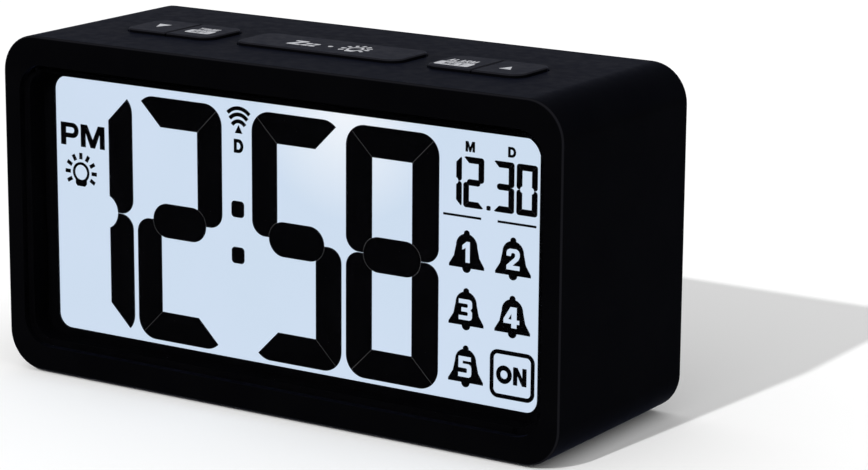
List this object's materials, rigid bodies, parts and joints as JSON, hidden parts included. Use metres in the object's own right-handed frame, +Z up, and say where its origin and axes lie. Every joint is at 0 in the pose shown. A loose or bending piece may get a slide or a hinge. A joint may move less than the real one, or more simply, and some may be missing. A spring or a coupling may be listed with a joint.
{
  "type": "digital alarm clock",
  "caption": "Block-shaped black table alarm clock with a backlit segment display behind a clear lens, press keys on top, and a hinged battery door at the back.",
  "frame": {"origin": "middle of the footprint, on the surface that the feet stand on", "axes": "+Z up, display facing -Y, +X to the right seen from the front"},
  "size_m": [0.135, 0.0486, 0.0727],
  "materials": {
    "case_plastic": "soft-touch black moulded ABS",
    "key_plastic": "fine satin black moulded ABS",
    "clear_acrylic": "clear polished acrylic",
    "mask_plastic": "dead black moulded plastic",
    "display_glass": "backlit pale blue-white display glass",
    "segment_black": "dark liquid crystal segments",
    "reflector_white": "white diffusing film",
    "lamp_resin": "yellow-white lamp resin",
    "strip_rubber": "banded conductive rubber",
    "board_laminate": "green solder mask on laminate",
    "black_resin": "black resin",
    "bright_steel": "zinc or nickel plated steel",
    "dark_steel": "black oxide steel",
    "ferrite": "sintered ferrite",
    "copper_winding": "enamelled copper wire",
    "white_plastic": "white moulded plastic",
    "plunger_plastic": "tan moulded plastic",
    "cell_jacket": "printed film jacket on a metal can",
    "red_wire": "red PVC insulation",
    "black_wire": "black PVC insulation",
    "sounder_brass": "rolled brass",
    "sounder_white": "silvered piezo ceramic",
    "foot_rubber": "black moulded rubber"
  },
  "bodies": {
    "case": {"front_case": "case_plastic", "rear_cover": "case_plastic", "display_lens": "clear_acrylic", "light_guide": "clear_acrylic", "lcd_frame": "mask_plastic", "lcd_glass": "display_glass", "lcd_segments": "segment_black", "reflector_sheet": "reflector_white", "backlight_leds": "lamp_resin", "contact_strip": "strip_rubber", "main_board": "board_laminate", "key_board": "board_laminate", "receiver_board": "board_laminate", "controller_blob": "black_resin", "receiver_chip": "black_resin", "receiver_header": "black_resin", "switch_housings": "black_resin", "display_screws": "bright_steel", "key_board_screws": "bright_steel", "crystal": "bright_steel", "positive_contact": "bright_steel", "negative_contact": "bright_steel", "link_contact": "bright_steel", "contact_springs": "bright_steel", "cover_screws": "dark_steel", "ferrite_rod": "ferrite", "antenna_coil": "copper_winding", "antenna_clips": "white_plastic", "ribbon_socket": "white_plastic", "key_ribbon": "white_plastic", "cell_upper": "cell_jacket", "cell_lower": "cell_jacket", "positive_lead": "red_wire", "negative_lead": "black_wire", "sounder_disc": "sounder_brass", "sounder_ceramic": "sounder_white", "rubber_feet": "foot_rubber"},
    "down_key": {"key_down": "key_plastic", "plunger_down": "plunger_plastic"},
    "set_key": {"key_set": "key_plastic", "plunger_set": "plunger_plastic"},
    "snooze_key": {"key_snooze": "key_plastic", "plunger_snooze": "plunger_plastic"},
    "mode_key": {"key_mode": "key_plastic", "plunger_mode": "plunger_plastic"},
    "up_key": {"key_up": "key_plastic", "plunger_up": "plunger_plastic"},
    "door": {"battery_door": "case_plastic"}
  },
  "joints": [
    {"name": "down_press", "type": "slide", "parent": "case", "child": "down_key", "axis": [0, 0, -1], "range_m": [0, 0.0006], "stiffness_N_per_m": 2000, "springref_m": -0.0002},
    {"name": "set_press", "type": "slide", "parent": "case", "child": "set_key", "axis": [0, 0, -1], "range_m": [0, 0.0006], "stiffness_N_per_m": 2000, "springref_m": -0.0002},
    {"name": "snooze_press", "type": "slide", "parent": "case", "child": "snooze_key", "axis": [0, 0, -1], "range_m": [0, 0.0006], "stiffness_N_per_m": 2000, "springref_m": -0.0002},
    {"name": "mode_press", "type": "slide", "parent": "case", "child": "mode_key", "axis": [0, 0, -1], "range_m": [0, 0.0006], "stiffness_N_per_m": 2000, "springref_m": -0.0002},
    {"name": "up_press", "type": "slide", "parent": "case", "child": "up_key", "axis": [0, 0, -1], "range_m": [0, 0.0006], "stiffness_N_per_m": 2000, "springref_m": -0.0002},
    {"name": "door_hinge", "type": "hinge", "parent": "case", "child": "door", "pos_m": [0.014, 0.0229, 0.0191], "axis": [-1, 0, 0], "range_deg": [0, 95]}
  ]
}
